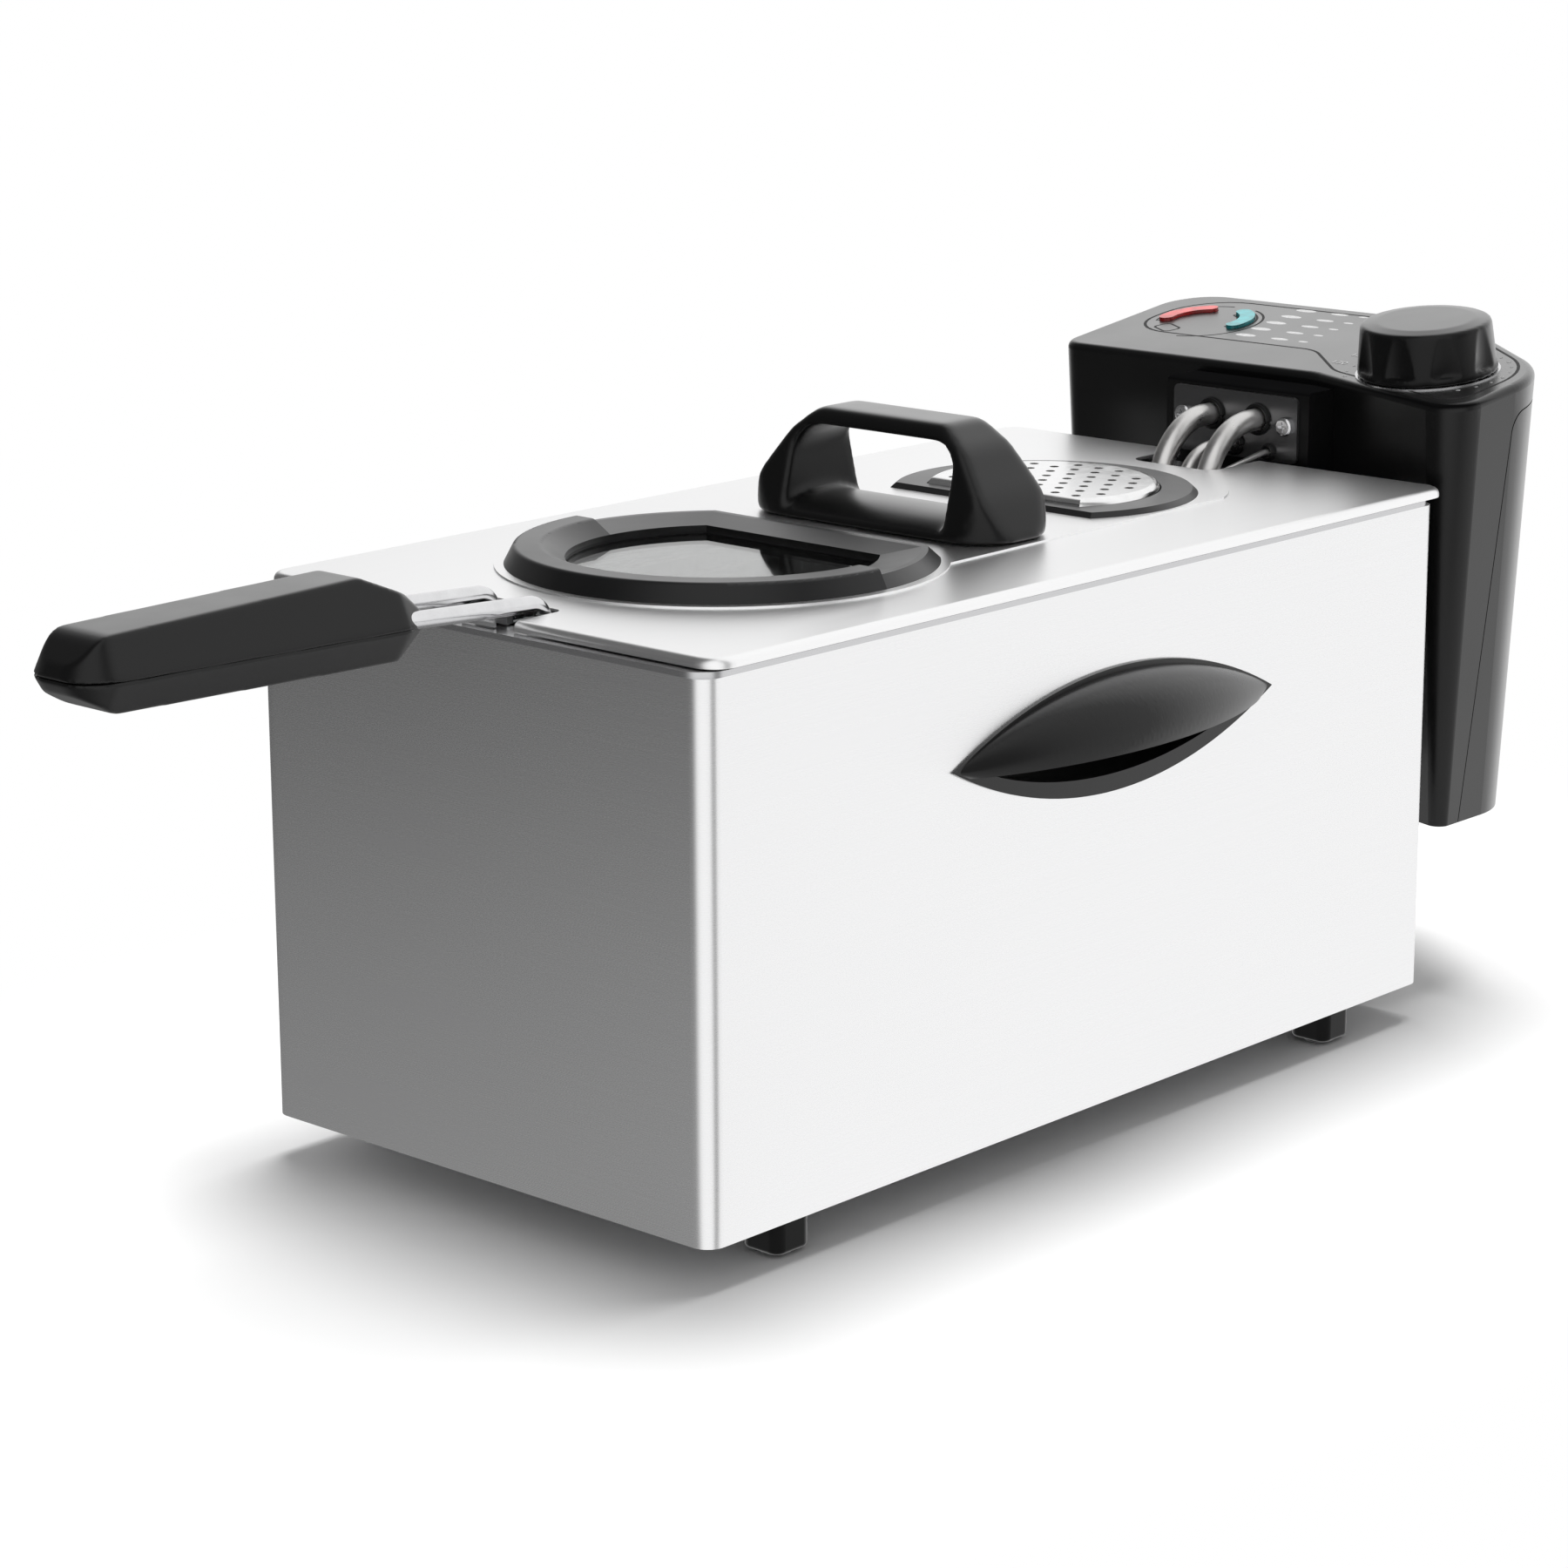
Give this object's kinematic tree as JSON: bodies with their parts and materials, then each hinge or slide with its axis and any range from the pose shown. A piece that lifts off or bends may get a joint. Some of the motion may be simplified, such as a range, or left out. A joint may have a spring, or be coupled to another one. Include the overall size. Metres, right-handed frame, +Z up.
{
  "type": "deep fryer",
  "caption": "Steel deep fryer with lift-out oil tank, basket, windowed lid with steam filter, and a hanging control unit with an immersed heating loop.",
  "frame": {"origin": "on the floor, under the middle of the whole object's bounding box", "axes": "+X to the right seen from the basket grip, +Y from the basket grip towards the control unit, +Z up"},
  "size_m": [0.214, 0.5936, 0.2267],
  "materials": {
    "steel_body": "horizontally brushed",
    "steel_lid": "satin, bright edge",
    "steel_inner": "drawn, satin",
    "steel_wire": "bright drawn wire",
    "steel_small": "bright",
    "steel_plate": "satin",
    "element_steel": "grey, heat-dulled",
    "black_plastic": "fine grain",
    "grey_plastic": "fine grain",
    "red_lens": "translucent",
    "green_lens": "translucent",
    "clear_glass": "clear",
    "black_rubber": "matt",
    "filter_felt": "felted",
    "pale_plastic": "plain moulding"
  },
  "bodies": {
    "base": {"housing_shell": "steel_body", "base_plate": "steel_inner", "foot_front_left": "black_plastic", "foot_front_right": "black_plastic", "foot_rear_left": "black_plastic", "foot_rear_right": "black_plastic", "foot_pads": "black_rubber", "foot_screws": "steel_small", "side_grip_left": "black_plastic", "side_grip_right": "black_plastic", "guide_channel": "steel_inner", "guide_rivets": "steel_small"},
    "tank": {"oil_tank": "steel_inner"},
    "control_unit": {"control_housing": "black_plastic", "rear_cover": "black_plastic", "panel_insert": "grey_plastic", "lamp_red": "red_lens", "lamp_green": "green_lens", "knob_ring": "steel_small", "element_plate": "steel_plate", "element_screws": "steel_small", "heating_element": "element_steel", "sensor_tube": "element_steel", "safety_capillary": "element_steel", "thermostat": "pale_plastic", "lamp_bulbs": "pale_plastic", "safety_cutout": "pale_plastic", "interlock_switch": "pale_plastic", "terminal_block": "pale_plastic", "cord_gland": "black_plastic", "cover_screws": "steel_small"},
    "knob": {"control_knob": "black_plastic"},
    "reset": {"reset_button": "red_lens"},
    "basket": {"basket_wall": "steel_wire", "basket_floor": "steel_wire", "basket_rim": "steel_wire", "basket_bracket": "steel_wire", "handle_wires": "steel_wire", "grip_upper": "black_plastic", "grip_lower": "black_plastic"},
    "lid": {"lid_shell": "steel_lid", "window_frame": "grey_plastic", "window_gasket": "black_rubber", "window_glass": "clear_glass", "window_retainer": "steel_plate", "filter_ring": "grey_plastic", "filter_grille": "steel_plate", "filter_pad": "filter_felt", "filter_tray": "steel_plate", "lid_handle": "black_plastic", "lid_handle_screws": "steel_small"}
  },
  "joints": [
    {"name": "tank_lift", "type": "slide", "parent": "base", "child": "tank", "axis": [0, 0, 1], "range_m": [0, 0.15]},
    {"name": "control_lift", "type": "slide", "parent": "tank", "child": "control_unit", "axis": [0, 0, 1], "range_m": [0, 0.13]},
    {"name": "basket_lift", "type": "slide", "parent": "control_unit", "child": "basket", "axis": [0, 0, 1], "range_m": [0, 0.11]},
    {"name": "lid_lift", "type": "slide", "parent": "basket", "child": "lid", "axis": [0, 0, 1], "range_m": [0, 0.09]},
    {"name": "knob_turn", "type": "hinge", "parent": "control_unit", "child": "knob", "pos_m": [0.054, 0.23603, 0.20659], "axis": [0, -0.1288, 0.9917], "range_deg": [-270, 0]},
    {"name": "reset_press", "type": "slide", "parent": "control_unit", "child": "reset", "axis": [0, -1, 0], "range_m": [0, 0.002], "stiffness_N_per_m": 400, "springref_m": -0.001}
  ]
}
